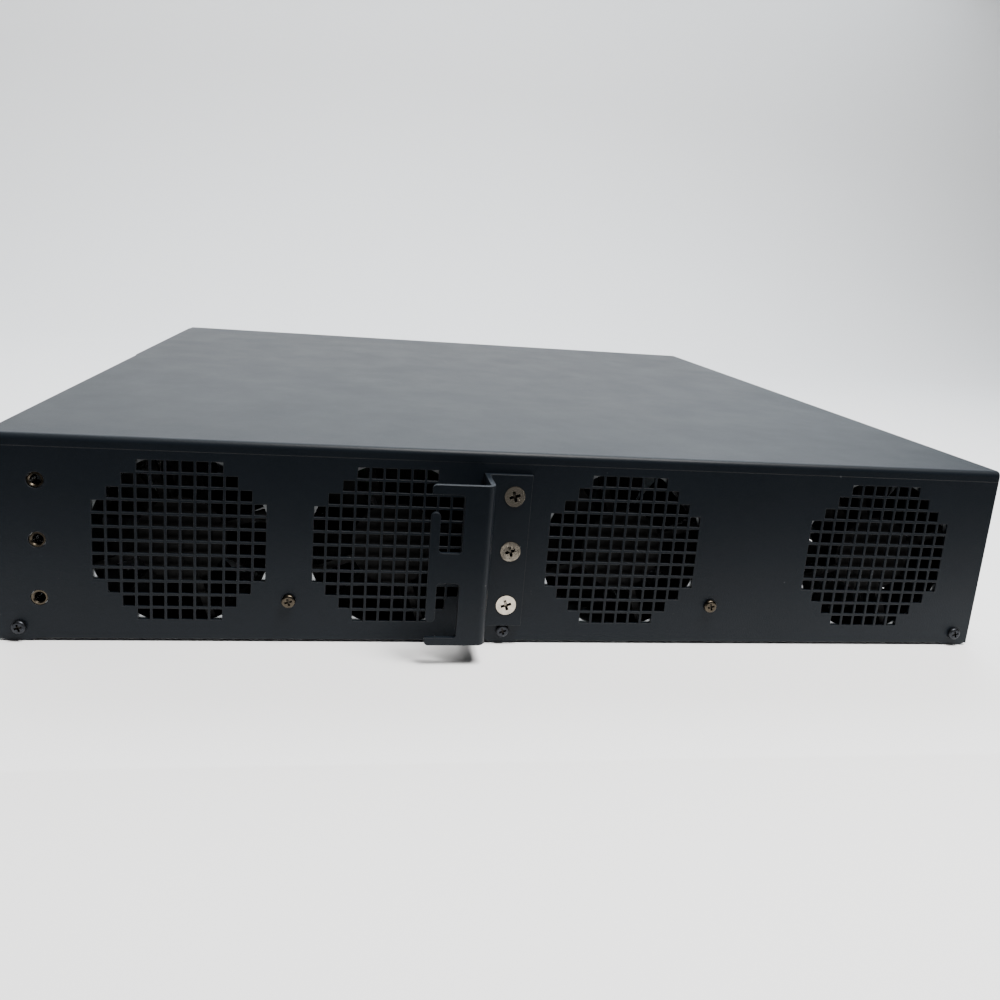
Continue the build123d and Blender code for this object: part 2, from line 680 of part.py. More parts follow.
def switch_rocker():
    """The rocker at rest, tilted to its off side."""
    profile = Polyline((-2.8, -6.2), (3.6, -6.4), (2.2, 0), (3.6, 6.4), (-2.8, 6.2), close=True)
    sketch = make_face(Plane.YZ * profile)
    rocker = extrude(sketch, 4.0, both=True) + rod_x(0, 0, rocker_pin_r, -5.2, 5.2)
    return Pos(switch_x, rocker_axis_y, switch_z) * Rot(-rocker_tilt, 0, 0) * rocker


def ground_stud():
    """Earth stud: hexagon head behind the panel, washer and nut in front of it."""
    x, z = stud_x, stud_z
    stud = rod_y(x, z, stud_r, rear_y - 8, rear_y + 13)
    hexagon = RegularPolygon(4.6, 6)
    head = Pos(x, rear_y - rear_t - 3, z) * Rot(-90, 0, 0) * extrude(hexagon, 3, both=True)
    nut = Pos(x, rear_y + 2.6, z) * Rot(-90, 0, 0) * extrude(hexagon, 1.6, both=True)
    return stud + head + nut + rod_y(x, z, 5.2, rear_y, rear_y + 1)


def fan_cable(y, turn_y):
    """A fan lead held along the floor, from the fan's edge to its header on the board."""
    z, run_x = floor_z + 2.0, fan_x - 4.3
    route = [(fan_x, y, z), (run_x, y, z), (run_x, turn_y, z), (board_x[1] + 2, turn_y, z)]
    path = FilletPolyline(*route, radius=3)
    profile = Plane(origin=route[0], z_dir=(-1, 0, 0)) * Circle(cable_r)
    return sweep(profile, path)


def build():
    save("top_cover", *top_cover())
    save("base_tray", *base_tray())
    save("front_panel", front_panel())
    save("rear_panel", rear_panel())
    ear = rack_ear()
    save("ear_right", ear)
    save("ear_left", mirrored(ear))

    screws = [countersunk_screw(ear_hole_y, z) for z in ear_hole_z]
    save("ear_screws", *screws, *[mirrored(s) for s in screws])
    nuts = [ear_nut(y, z) for y in (front_hole_y, ear_hole_y) for z in ear_hole_z]
    save("ear_nuts", *nuts, *[mirrored(n) for n in nuts])
    cover_screws = [pan_screw(side_x, y, cover_screw_z, 2.9, screw_r, 4) for y in cover_screw_y]
    save("cover_screws", *cover_screws, *[mirrored(s) for s in cover_screws])
    save("bracket_screws", *[pan_screw(side_x, y, bracket_screw_z, 3.0, screw_r, 7) for y in bracket_screw_y])
    save("fan_brackets", *[fan_bracket(y) for y in bracket_screw_y])
    pads = [block(x - 10, x + 10, y - 10, y + 10, 0, pad_t) for x in (-190, 190) for y in (-190, 190)]
    save("rubber_pads", *pads)

    frame = fan_frame()
    rotor = fan_rotor(fan_hub_r, fan_hub_r - 0.8, fan_bore_r - 2.4, 2.0, 21.0, 19.5, 7, (16, 24))
    stator = fan_stator()
    for number, y in enumerate(fan_y, 1):
        place = Pos(fan_x, y, fan_z)
        save(f"fan_{number}_frame", place * frame)
        save(f"fan_{number}_rotor", place * rotor)
    save("fan_stators", *[Pos(fan_x, y, fan_z) * stator for y in fan_y])
    save("fan_screws", *[fan_screw(y + a, fan_z + b) for y in fan_y for a, b in corners(fan_hole)])
    save("fan_cables", *[fan_cable(y, turn_y) for y, turn_y in zip(fan_y, cable_turn_y)])

    save("main_board", main_board())
    save("board_standoffs", *[standoff(x, y) for x in standoff_x for y in standoff_y])
    save("board_screws", *[board_screw(x, y, board_top) for x in standoff_x for y in standoff_y])
    save("cpu_heatsink", finned_sink(-40, -20, board_top + 4.0, 90, 90, 50, 25))
    save("board_chips", chip(-40, -20, 45, 4.0), chip(-90, -120, 38), chip(-80, -170, 30),
         chip(-20, -110, 35), chip(20, -180, 14))
    save("chip_heatsinks", finned_sink(-90, -120, board_top + 2, 40, 40, 12, 12),
         finned_sink(-20, -110, board_top + 2, 40, 40, 14, 12))
    save("memory_sockets", *[memory_socket(x) for x in bank_x])
    save("memory_modules", *[memory_module(x) for x in bank_x])

    jacks = [rj45_port(x - console_w / 2, socket_y, board_top, console_w, console_h, 1, 1) for x in console_x]
    save("console_ports", *jacks)
    save("usb_ports", usb_ports())
    save("light_pipes", *[light_pipe(x) for x in light_x])
    save("module_faceplate", module_faceplate())
    save("module_board", module_board())
    save("module_rj45_block", rj45_port(rj_x0, module_socket_y, module_socket_z, 4 * rj_w, 2 * rj_h, 2, 4))
    save("module_sfp_cages", *[sfp_cage(x) for x in sfp_x])
    save("module_thumbscrews", *[thumbscrew(x) for x in thumbscrew_x])

    save("psu_cage", psu_cage())
    save("psu_backplane", psu_backplane())
    supply = {"case": [psu_case()], "handle": [psu_handle()], "latch": [psu_latch()],
              "inlet": [psu_inlet()], "pins": psu_pins(), "fan_rotor": [psu_rotor()]}
    for letter, z in zip("ab", psu_z):
        place = Pos(psu_x, rear_y, z)
        for piece, shapes in supply.items():
            save(f"psu_{letter}_{piece}", *[place * shape for shape in shapes])

    save("drive_cage", drive_cage())
    save("drive_tray", drive_tray())
    save("drive", block(bay_x[0] + 2, bay_x[1] - 2, front_y + 8, front_y + tray_l - 4, 6.0, 13.0))
    save("drive_lever", drive_lever())
    save("switch_housing", switch_housing())
    save("switch_rocker", switch_rocker())
    save("ground_stud", ground_stud())


build()
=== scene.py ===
import json
from math import cos, pi, radians, sin
from random import Random

import bmesh
import bpy
from mathutils import Matrix, Vector

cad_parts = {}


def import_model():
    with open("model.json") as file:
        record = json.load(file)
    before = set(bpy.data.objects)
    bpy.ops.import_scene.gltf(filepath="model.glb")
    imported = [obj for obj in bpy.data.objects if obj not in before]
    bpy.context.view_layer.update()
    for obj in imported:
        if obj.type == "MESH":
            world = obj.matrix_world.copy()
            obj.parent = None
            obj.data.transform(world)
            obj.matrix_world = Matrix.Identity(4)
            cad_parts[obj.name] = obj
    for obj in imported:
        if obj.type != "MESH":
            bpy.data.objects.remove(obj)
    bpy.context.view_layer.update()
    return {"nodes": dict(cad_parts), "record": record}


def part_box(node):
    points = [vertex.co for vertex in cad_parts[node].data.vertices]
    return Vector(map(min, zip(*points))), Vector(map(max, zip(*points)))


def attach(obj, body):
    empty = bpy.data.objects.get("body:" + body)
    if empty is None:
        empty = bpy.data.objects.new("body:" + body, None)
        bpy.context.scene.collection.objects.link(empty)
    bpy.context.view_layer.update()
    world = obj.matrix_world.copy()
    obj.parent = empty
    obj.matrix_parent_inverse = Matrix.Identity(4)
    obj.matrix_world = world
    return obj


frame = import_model()

MM = 0.001


# ---------------------------------------------------------------- materials

class Shader:
    """A small helper that builds one node material."""

    def __init__(self, name, **values):
        self.material = bpy.data.materials.new(name)
        self.material.use_nodes = True
        self.tree = self.material.node_tree
        self.bsdf = self.tree.nodes["Principled BSDF"]
        self.coord = self.tree.nodes.new("ShaderNodeTexCoord").outputs["Object"]
        self.normal = None
        for socket, value in values.items():
            self.bsdf.inputs[socket.replace("_", " ")].default_value = value

    def node(self, kind, inputs=None, **settings):
        made = self.tree.nodes.new(kind)
        for key, value in settings.items():
            setattr(made, key, value)
        for key, value in (inputs or {}).items():
            if isinstance(value, bpy.types.NodeSocket):
                self.tree.links.new(value, made.inputs[key])
            else:
                made.inputs[key].default_value = value
        return made

    def place(self, scale=(1, 1, 1), turn=(0, 0, 0)):
        inputs = {"Vector": self.coord, "Scale": scale, "Rotation": turn}
        return self.node("ShaderNodeMapping", inputs).outputs[0]

    def noise(self, scale, detail=3.0, rough=0.5, vector=None):
        inputs = {"Vector": vector or self.coord, "Scale": scale, "Detail": detail, "Roughness": rough}
        return self.node("ShaderNodeTexNoise", inputs).outputs["Fac"]

    def cells(self, scale, feature="F1", vector=None, output="Distance"):
        inputs = {"Vector": vector or self.coord, "Scale": scale}
        return self.node("ShaderNodeTexVoronoi", inputs, feature=feature).outputs[output]

    def ramp(self, value, low, high, out_low=0.0, out_high=1.0):
        inputs = {0: value, 1: low, 2: high, 3: out_low, 4: out_high}
        return self.node("ShaderNodeMapRange", inputs).outputs[0]

    def maths(self, operation, a, b):
        return self.node("ShaderNodeMath", {0: a, 1: b}, operation=operation).outputs[0]

    def mix(self, share, a, b):
        return self.node("ShaderNodeMix", {0: share, 6: a, 7: b}, data_type="RGBA").outputs[2]

    def rounded_edges_wear_and_highlight(self, radius):
        """Rounds the shading of sharp edges, as a coat of paint does, and says how near an edge is, for
        paint made paler there: partly wear, partly a painted highlight.
        """
        self.normal = self.node("ShaderNodeBevel", {"Radius": radius}, samples=6).outputs[0]
        self.tree.links.new(self.normal, self.bsdf.inputs["Normal"])
        flat = self.node("ShaderNodeNewGeometry").outputs["Normal"]
        turned = self.node("ShaderNodeVectorMath", {0: self.normal, 1: flat}, operation="DOT_PRODUCT")
        return self.ramp(turned.outputs["Value"], 0.99, 0.85)

    def painted_recess_shade(self, value, distance, darkest):
        """Paints shade into a colour in slots and corners: darker where ambient occlusion is stronger."""
        shade = self.node("ShaderNodeAmbientOcclusion", {"Distance": distance}, samples=8, only_local=True)
        share = self.ramp(shade.outputs["AO"], 0.45, 0.92)
        return self.mix(share, rgb(*darkest), value)

    def colour(self, value):
        self.tree.links.new(value, self.bsdf.inputs["Base Color"])

    def rough(self, value):
        self.tree.links.new(value, self.bsdf.inputs["Roughness"])

    def bump(self, height, distance, strength=1.0):
        inputs = {"Height": height, "Distance": distance, "Strength": strength}
        if self.normal is not None:
            inputs["Normal"] = self.normal
        self.normal = self.node("ShaderNodeBump", inputs).outputs[0]
        self.tree.links.new(self.normal, self.bsdf.inputs["Normal"])


def rgb(r, g, b):
    return (r, g, b, 1.0)


def powder_coat(name, base, light, roughness=0.43):
    """Fine-textured powder coat with handling smudges, dust specks and hairline scratches."""
    s = Shader(name, Specular_IOR_Level=0.15)
    edge = s.rounded_edges_wear_and_highlight(0.35 * MM)
    broad = s.noise(5.0, 5.0, 0.6)
    fine = s.noise(2600.0, 2.0, 0.5)
    blend = s.mix(s.ramp(broad, 0.35, 0.7), base, light)
    keep = s.ramp(s.noise(28.0, 2.0), 0.60, 0.66)
    speck = s.maths("MULTIPLY", s.ramp(s.cells(95.0), 0.05, 0.02), keep)
    stretched = s.place((14.0, 260.0, 260.0), (0.2, 0.1, 0.7))
    scratch = s.maths("MULTIPLY", s.ramp(s.noise(1.6, 2.0, 0.5, stretched), 0.745, 0.765),
                      s.ramp(s.noise(14.0, 2.0), 0.55, 0.62))
    marks = s.maths("MAXIMUM", s.maths("MULTIPLY", speck, 0.4), s.maths("MULTIPLY", scratch, 0.2))
    # Paler paint near edges: partly worn paint, partly a painted highlight where edges catch the light.
    coat = s.mix(s.maths("MULTIPLY", edge, 0.5), blend, rgb(0.05, 0.05, 0.05))
    s.colour(s.mix(marks, coat, rgb(0.25, 0.26, 0.27)))
    smudge = s.ramp(s.noise(22.0, 6.0, 0.66), 0.3, 0.75, roughness - 0.03, roughness + 0.04)
    s.rough(s.maths("ADD", smudge, s.maths("MULTIPLY", fine, 0.05)))
    s.bump(s.cells(1500.0, "SMOOTH_F1"), 0.00009, 0.55)
    s.bump(fine, 0.00005, 0.4)
    return s.material


def zinc_plate(name, base=(0.38, 0.40, 0.41), roughness=0.33):
    """Bright zinc-plated steel: faint spangle, rolled streaks, handling stains."""
    s = Shader(name, Metallic=1.0)
    spangle = s.cells(160.0, output="Color")
    grey = s.node("ShaderNodeRGBToBW", {0: spangle}).outputs[0]
    streak = s.noise(30.0, 3.0, 0.6, s.place((1, 24, 24)))
    tone = s.maths("ADD", s.maths("MULTIPLY", grey, 0.25), s.maths("MULTIPLY", streak, 0.75))
    dark = rgb(*(c * 0.72 for c in base))
    s.colour(s.mix(s.ramp(tone, 0.25, 0.75), dark, rgb(*base)))
    s.rough(s.ramp(s.noise(60.0, 4.0), 0.3, 0.7, roughness - 0.03, roughness + 0.05))
    s.bump(streak, 0.00003, 0.5)
    return s.material


def bright_metal(name, base, roughness=0.2, grain=900.0, recess_shade_colour=(0.02, 0.018, 0.015)):
    """Small plated or turned hardware: fine scratches, dulled patches and painted shade in the recesses."""
    s = Shader(name, Metallic=1.0)
    patch = s.noise(420.0, 3.0)
    fine = s.noise(grain, 2.0, 0.5, s.place((1, 5, 1)))
    clean = s.mix(s.ramp(patch, 0.3, 0.75), rgb(*base), rgb(*(c * 0.66 for c in base)))
    # Painted shade: the colour darkens towards the recess shade colour in slots and corners.
    s.colour(s.painted_recess_shade(clean, 2.2 * MM, recess_shade_colour))
    s.rough(s.maths("ADD", s.ramp(patch, 0.3, 0.7, roughness - 0.05, roughness + 0.12),
                    s.maths("MULTIPLY", fine, 0.06)))
    s.bump(fine, 0.00002, 0.5)
    return s.material


def moulded(name, base, roughness=0.5, texture=1800.0, gloss=0.5):
    """Moulded plastic with a spark-eroded texture and a little dust."""
    s = Shader(name, Specular_IOR_Level=gloss)
    cloud = s.noise(45.0, 4.0, 0.6)
    lighter = rgb(*(min(1.0, c * 1.35 + 0.004) for c in base))
    s.colour(s.mix(s.ramp(cloud, 0.35, 0.7), rgb(*base), lighter))
    s.rough(s.ramp(s.noise(80.0, 3.0), 0.3, 0.7, roughness - 0.06, roughness + 0.08))
    s.bump(s.noise(texture, 2.0, 0.5), 0.00003, 0.5)
    return s.material


def circuit_board(name, base=(0.012, 0.075, 0.03)):
    """Solder mask over copper traces, with vias."""
    s = Shader(name, Roughness=0.32, Coat_Weight=0.4, Coat_Roughness=0.15)
    along = s.node("ShaderNodeTexWave", {"Vector": s.coord, "Scale": 260.0, "Distortion": 0.0},
                   bands_direction="X").outputs["Fac"]
    across = s.node("ShaderNodeTexWave", {"Vector": s.coord, "Scale": 240.0, "Distortion": 0.0},
                    bands_direction="Y").outputs["Fac"]
    region = s.ramp(s.cells(34.0, output="Distance"), 0.30, 0.34)
    trace = s.ramp(s.mix(region, along, across), 0.62, 0.68)
    trace = s.maths("MULTIPLY", trace, s.ramp(s.noise(60.0, 2.0), 0.45, 0.5))
    masked = s.mix(trace, rgb(*base), rgb(base[0] * 2.2, base[1] * 1.9, base[2] * 2.0))
    via = s.ramp(s.cells(330.0), 0.10, 0.07)
    via = s.maths("MULTIPLY", via, s.ramp(s.noise(90.0, 1.0), 0.52, 0.55))
    s.colour(s.mix(via, masked, rgb(0.62, 0.55, 0.36)))
    s.bump(trace, 0.00004, 0.6)
    return s.material


def winding(name):
    """Lacquered copper wire, wound in close turns."""
    s = Shader(name, Metallic=1.0, Roughness=0.35)
    inputs = {"Vector": s.coord, "Scale": 900.0, "Distortion": 0.6}
    turns = s.node("ShaderNodeTexWave", inputs).outputs["Fac"]
    s.colour(s.mix(turns, rgb(0.30, 0.10, 0.04), rgb(0.75, 0.36, 0.17)))
    s.bump(turns, 0.0001, 0.8)
    return s.material


def light_lens(name):
    """Clear moulded light pipe."""
    s = Shader(name, Roughness=0.18, IOR=1.49, Transmission_Weight=0.6)
    s.colour(s.mix(s.noise(300.0, 2.0), rgb(0.62, 0.72, 0.64), rgb(0.82, 0.88, 0.82)))
    s.bump(s.noise(700.0, 1.0), 0.00003, 0.4)
    return s.material


def paper(name):
    """A printed sticker: pale stock with plain rules and blocks, and no words."""
    s = Shader(name, Roughness=0.55, Coat_Weight=0.3, Coat_Roughness=0.3)
    rules = s.node("ShaderNodeTexWave", {"Vector": s.coord, "Scale": 70.0, "Distortion": 0.0},
                   bands_direction="Y").outputs["Fac"]
    block = s.ramp(s.cells(55.0, output="Distance"), 0.45, 0.47)
    printed = s.maths("MULTIPLY", s.ramp(rules, 0.8, 0.84), block)
    stock = s.mix(s.noise(60.0, 4.0), rgb(0.66, 0.65, 0.62), rgb(0.74, 0.73, 0.70))
    s.colour(s.mix(printed, stock, rgb(0.08, 0.08, 0.09)))
    s.bump(s.noise(1500.0, 2.0), 0.00002, 0.4)
    return s.material


def lamp_lens(name, colour):
    """A small coloured indicator, unlit."""
    s = Shader(name, Roughness=0.2, IOR=1.5, Coat_Weight=0.6, Coat_Roughness=0.08)
    s.colour(s.mix(s.noise(900.0, 2.0), rgb(*colour), rgb(*(c * 0.7 for c in colour))))
    s.bump(s.noise(1300.0, 1.0), 0.00002, 0.4)
    return s.material


def rubber(name):
    """Dull, dusty black rubber."""
    s = Shader(name, Specular_IOR_Level=0.3)
    s.colour(s.mix(s.noise(120.0, 4.0), rgb(0.012, 0.012, 0.013), rgb(0.035, 0.034, 0.033)))
    s.rough(s.ramp(s.noise(200.0, 3.0), 0.3, 0.7, 0.7, 0.86))
    s.bump(s.noise(1100.0, 3.0), 0.00008, 0.6)
    return s.material


MATERIALS = {
    "cover_paint": powder_coat("slate_powder_coat", rgb(0.0036, 0.0058, 0.0088),
                               rgb(0.0050, 0.0078, 0.0115)),
    "module_black": powder_coat("black_powder_coat", rgb(0.0030, 0.0034, 0.0040),
                                rgb(0.0044, 0.0048, 0.0055), 0.5),
    "zinc": zinc_plate("zinc_plate"),
    "dark_zinc": bright_metal("dulled_zinc", (0.070, 0.058, 0.043), 0.22, 700.0),
    "nickel": bright_metal("nickel_plate", (0.56, 0.50, 0.41), 0.13),
    "port_metal": bright_metal("tinned_shield", (0.70, 0.71, 0.72), 0.24),
    "brass": bright_metal("turned_brass", (0.78, 0.58, 0.27), 0.22),
    "black_screw": bright_metal("black_oxide", (0.035, 0.037, 0.042), 0.36),
    "aluminium": bright_metal("extruded_aluminium", (0.72, 0.73, 0.75), 0.28, 500.0),
    "copper": winding("copper_winding"),
    "board_green": circuit_board("circuit_board"),
    "chip_black": moulded("chip_package", (0.018, 0.018, 0.020), 0.45, 2500.0),
    "black_plastic": moulded("black_plastic", (0.0022, 0.0022, 0.0023), 0.52, gloss=0.12),
    "blue_plastic": moulded("release_plastic", (0.02, 0.10, 0.30), 0.4),
    "wire_red": moulded("lead_sleeve", (0.03, 0.028, 0.028), 0.42, 900.0),
    "rubber": rubber("pad_rubber"),
    "lens": light_lens("light_pipe_lens"),
}
STICKER = paper("sticker_paper")
AMBER_LAMP = lamp_lens("amber_lamp", (0.55, 0.30, 0.06))
GREEN_LAMP = lamp_lens("green_lamp", (0.10, 0.38, 0.12))


# ---------------------------------------------------------------- the frame's own nodes

# Bevel of each node's own edges, in mm. The perforated sheets get theirs from the paint's shader.
EDGE_ROUND = {
    "ear_right": 0.45, "ear_left": 0.45, "module_faceplate": 0.2, "ear_screws": 0.12, "cover_screws": 0.12,
    "bracket_screws": 0.12, "psu_a_handle": 0.7, "psu_b_handle": 0.7, "psu_a_case": 0.2, "psu_b_case": 0.2,
    "psu_a_inlet": 0.4, "psu_b_inlet": 0.4, "psu_a_latch": 0.3, "psu_b_latch": 0.3, "drive_tray": 0.25,
    "drive_lever": 0.4, "switch_housing": 0.4, "switch_rocker": 0.4, "module_rj45_block": 0.15,
    "console_ports": 0.15, "module_thumbscrews": 0.15, "rubber_pads": 0.3, "ground_stud": 0.15,
}

SAME_POINT = 1e-6
SHARP = radians(35)


def finish_node(name, node):
    """Gives a node of the frame its material and eases its sharp edges."""
    slot = next(part["material_slot"] for part in frame["record"]["subparts"] if part["node"] == name)
    node.data.materials.clear()
    node.data.materials.append(MATERIALS[slot])
    if name in EDGE_ROUND:
        weld = node.modifiers.new("weld", "WELD")
        weld.merge_threshold = SAME_POINT
        bevel = node.modifiers.new("edges", "BEVEL")
        bevel.width = EDGE_ROUND[name] * MM
        bevel.segments = 2
        bevel.limit_method = "ANGLE"
        bevel.angle_limit = SHARP
        node.modifiers.new("shading", "WEIGHTED_NORMAL").keep_sharp = True


for node_name, node_object in frame["nodes"].items():
    finish_node(node_name, node_object)


# ---------------------------------------------------------------- small pieces on the frame

class Kit:
    """Collects boxes and rounds, with eased edges where asked, into one mesh piece."""

    def __init__(self):
        self.bm = bmesh.new()

    def box(self, low, high, round_by=0.0):
        low, high = Vector(low), Vector(high)
        made = bmesh.ops.create_cube(self.bm, size=1.0)["verts"]
        size, middle = high - low, (low + high) / 2
        for v in made:
            v.co = Vector((v.co.x * size.x, v.co.y * size.y, v.co.z * size.z)) + middle
        if round_by:
            edges = list(dict.fromkeys(e for v in made for e in v.link_edges))
            bmesh.ops.bevel(self.bm, geom=edges, offset=round_by, segments=2, affect="EDGES")

    def round(self, base, top, radius, sides=20, round_by=0.0):
        base, top = Vector(base), Vector(top)
        turn = (top - base).to_track_quat("Z", "Y").to_matrix().to_4x4()
        place = Matrix.Translation((base + top) / 2) @ turn
        made = bmesh.ops.create_cone(self.bm, cap_ends=True, segments=sides, radius1=radius, radius2=radius,
                                     depth=(top - base).length, matrix=place)["verts"]
        if round_by:
            edges = dict.fromkeys(e for v in made for e in v.link_edges)
            rims = [e for e in edges if any(len(f.verts) > 4 for f in e.link_faces)]
            bmesh.ops.bevel(self.bm, geom=rims, offset=round_by, segments=2, affect="EDGES")

    def piece(self, name, material, body, slot):
        mesh = bpy.data.meshes.new(name)
        self.bm.to_mesh(mesh)
        self.bm.free()
        mesh.materials.append(material)
        mesh.shade_smooth()
        obj = bpy.data.objects.new(name, mesh)
        bpy.context.collection.objects.link(obj)
        obj.modifiers.new("smooth", "EDGE_SPLIT").split_angle = SHARP
        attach(obj, body)
        return obj


CONTACTS = 8
CONTACT_PITCH = 1.02 * MM
CONTACT_HALF = 0.2 * MM
CONTACT_FROM = 3 * MM
CONTACT_TO = 13.5 * MM
CONTACT_Z = (3.0 * MM, 3.5 * MM)
JACK_LAMP_SIDE = 4.4 * MM
JACK_LAMP_HALF = 1.1 * MM
JACK_LAMP_Y = (-0.12 * MM, 0.5 * MM)
JACK_LAMP_Z = (4.6 * MM, 5.7 * MM)


def jack_insides(name, low, high, columns, rows):
    """Gold contacts in each jack of a block, and two small lamps over its mouth."""
    contacts, amber, green = Kit(), Kit(), Kit()
    wide = (high.x - low.x) / columns
    tall = (high.z - low.z) / rows
    for column in range(columns):
        for row in range(rows):
            x = low.x + wide * (column + 0.5)
            z = low.z + tall * (row + 0.5)
            for i in range(CONTACTS):
                cx = x + (i - (CONTACTS - 1) / 2) * CONTACT_PITCH
                contacts.box((cx - CONTACT_HALF, low.y + CONTACT_FROM, z + CONTACT_Z[0]),
                             (cx + CONTACT_HALF, low.y + CONTACT_TO, z + CONTACT_Z[1]))
            for side, kit in ((-1, amber), (1, green)):
                lx = x + side * JACK_LAMP_SIDE
                kit.box((lx - JACK_LAMP_HALF, low.y + JACK_LAMP_Y[0], z + JACK_LAMP_Z[0]),
                        (lx + JACK_LAMP_HALF, low.y + JACK_LAMP_Y[1], z + JACK_LAMP_Z[1]), 0.1 * MM)
    contacts.piece(name + "_contacts", MATERIALS["brass"], "chassis", "brass")
    amber.piece(name + "_amber_lamps", AMBER_LAMP, "chassis", "lens")
    green.piece(name + "_green_lamps", GREEN_LAMP, "chassis", "lens")


def footprint(*names):
    """The floor areas of nodes, as (low x, high x, low y, high y)."""
    areas = []
    for low, high in map(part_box, names):
        areas.append((low.x - MM, high.x + MM, low.y - MM, high.y + MM))
    return areas


PACKAGE_SIZES = ((3, 2), (5, 5), (9, 6), (12, 12), (6, 10), (2, 1.2))
CAN_SHARE = 0.15
COIL_SHARE = 0.28
CAN_HEIGHT = 8 * MM
COIL_HEIGHT = 3.2 * MM


def board_parts(name, area, top, keep_clear, seed, count):
    """Surface-mount packages, coils and capacitors scattered over the free parts of a board."""
    random = Random(seed)
    packages, cans, coils = Kit(), Kit(), Kit()
    taken = list(keep_clear)
    x0, x1, y0, y1 = area
    for _ in range(count):
        w, l = random.choice(PACKAGE_SIZES)
        x, y = random.uniform(x0, x1), random.uniform(y0, y1)
        half_w, half_l = w / 2 * MM, l / 2 * MM
        spot = (x - half_w - MM, x + half_w + MM, y - half_l - MM, y + half_l + MM)
        if any(spot[1] > a and spot[0] < b and spot[3] > c and spot[2] < d for a, b, c, d in taken):
            continue
        taken.append(spot)
        kind = random.random()
        low = (x - half_w, y - half_l, top)
        if kind < CAN_SHARE and w > 2:
            cans.round((x, y, top), (x, y, top + CAN_HEIGHT), min(half_w, half_l), round_by=0.3 * MM)
        elif kind < COIL_SHARE and w > 3:
            coils.box(low, (x + half_w, y + half_l, top + COIL_HEIGHT), 0.5 * MM)
        else:
            packages.box(low, (x + half_w, y + half_l, top + (0.9 + 0.05 * w) * MM), 0.12 * MM)
    packages.piece(name + "_packages", MATERIALS["chip_black"], "chassis", "chip_black")
    cans.piece(name + "_capacitors", MATERIALS["aluminium"], "chassis", "aluminium")
    coils.piece(name + "_coils", MATERIALS["black_plastic"], "chassis", "black_plastic")


BOARD_MARGIN = 6 * MM
PLUG_MARGIN = 8 * MM
PORT_MARGIN = 24 * MM


def fill_boards():
    """Populates the main board and the network module's board around what the frame already holds."""
    low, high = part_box("main_board")
    clear = footprint("cpu_heatsink", "usb_ports")
    for node in ("chip_heatsinks", "board_chips", "memory_sockets", "console_ports", "light_pipes",
                 "board_screws"):
        clear += solid_areas(node)
    area = (low.x + BOARD_MARGIN, high.x - PLUG_MARGIN, low.y + PORT_MARGIN, high.y - BOARD_MARGIN)
    board_parts("main_board", area, high.z, clear, seed=7, count=420)
    low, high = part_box("module_board")
    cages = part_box("module_sfp_cages")[1]
    area = (low.x + BOARD_MARGIN, high.x - BOARD_MARGIN, cages.y + PLUG_MARGIN, high.y - BOARD_MARGIN)
    board_parts("module_board", area, high.z, [], seed=11, count=120)


def solid_areas(node):
    """The floor area of each separate solid of a node."""
    bm = bmesh.new()
    bm.from_mesh(frame["nodes"][node].data)
    bmesh.ops.remove_doubles(bm, verts=bm.verts, dist=SAME_POINT)
    areas, seen = [], set()
    for start in bm.verts:
        if start in seen:
            continue
        group, waiting = [], [start]
        seen.add(start)
        while waiting:
            v = waiting.pop()
            group.append(v.co.copy())
            for e in v.link_edges:
                other = e.other_vert(v)
                if other not in seen:
                    seen.add(other)
                    waiting.append(other)
        xs, ys = [c.x for c in group], [c.y for c in group]
        areas.append((min(xs) - MM, max(xs) + MM, min(ys) - MM, max(ys) + MM))
    bm.free()
    return areas


LEAD_EDGE = 2.3 * MM
FAN_REACH = 20 * MM
PLUG_X = (7 * MM, 0.3 * MM)
PLUG_HALF = 5 * MM
PLUG_HEIGHT = 6 * MM
BOARD_END = 4 * MM


def fan_plugs():
    """A header on the board's edge at the end of each fan lead that lies away from its fan."""
    plugs = Kit()
    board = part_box("main_board")[1]
    for _, _, y0, y1 in solid_areas("fan_cables"):
        for y, inwards in ((y0, 1), (y1, -1)):
            if y < board.y - BOARD_END and abs(y - nearest_fan(y)) > FAN_REACH:
                middle = round(y, 4) + inwards * LEAD_EDGE
                plugs.box((board.x - PLUG_X[0], middle - PLUG_HALF, board.z),
                          (board.x - PLUG_X[1], middle + PLUG_HALF, board.z + PLUG_HEIGHT), 0.3 * MM)
    plugs.piece("fan_plugs", MATERIALS["black_plastic"], "chassis", "black_plastic")


def nearest_fan(y):
    """The middle of the side fan nearest to a place along the side."""
    middles = [sum(v.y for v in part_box(f"fan_{i}_rotor")) / 2 for i in range(1, 5)]
    return min(middles, key=lambda m: abs(m - y))


SUNK = 0.2 * MM
SUPPLY_LAMP = (2.4 * MM, 4.2 * MM)
SUPPLY_LAMP_R = 1.1 * MM
SUPPLY_LAMP_OUT = 0.5 * MM
FAN_SCREW_X = (3 * MM, 36.6 * MM)
FAN_SCREW_EDGE = 3 * MM
FAN_SCREW_R = 1.5 * MM
FAN_SCREW_OUT = 0.9 * MM


def supply_details(letter):
    """A lamp and the four fan screws on the outer face of a supply."""
    body = f"psu_{letter}"
    low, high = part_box(f"{body}_case")
    lamp, screws = Kit(), Kit()
    x, z = high.x - SUPPLY_LAMP[0], high.z - SUPPLY_LAMP[1]
    lamp.round((x, high.y - SUNK, z), (x, high.y + SUPPLY_LAMP_OUT, z), SUPPLY_LAMP_R, round_by=0.25 * MM)
    lamp.piece(f"{body}_lamp", GREEN_LAMP, body, "lens")
    for x in (low.x + FAN_SCREW_X[0], low.x + FAN_SCREW_X[1]):
        for z in (low.z + FAN_SCREW_EDGE, high.z - FAN_SCREW_EDGE):
            base, top = (x, high.y - SUNK, z), (x, high.y + FAN_SCREW_OUT, z)
            screws.round(base, top, FAN_SCREW_R, round_by=0.4 * MM)
    screws.piece(f"{body}_fan_screws", MATERIALS["black_screw"], body, "black_screw")


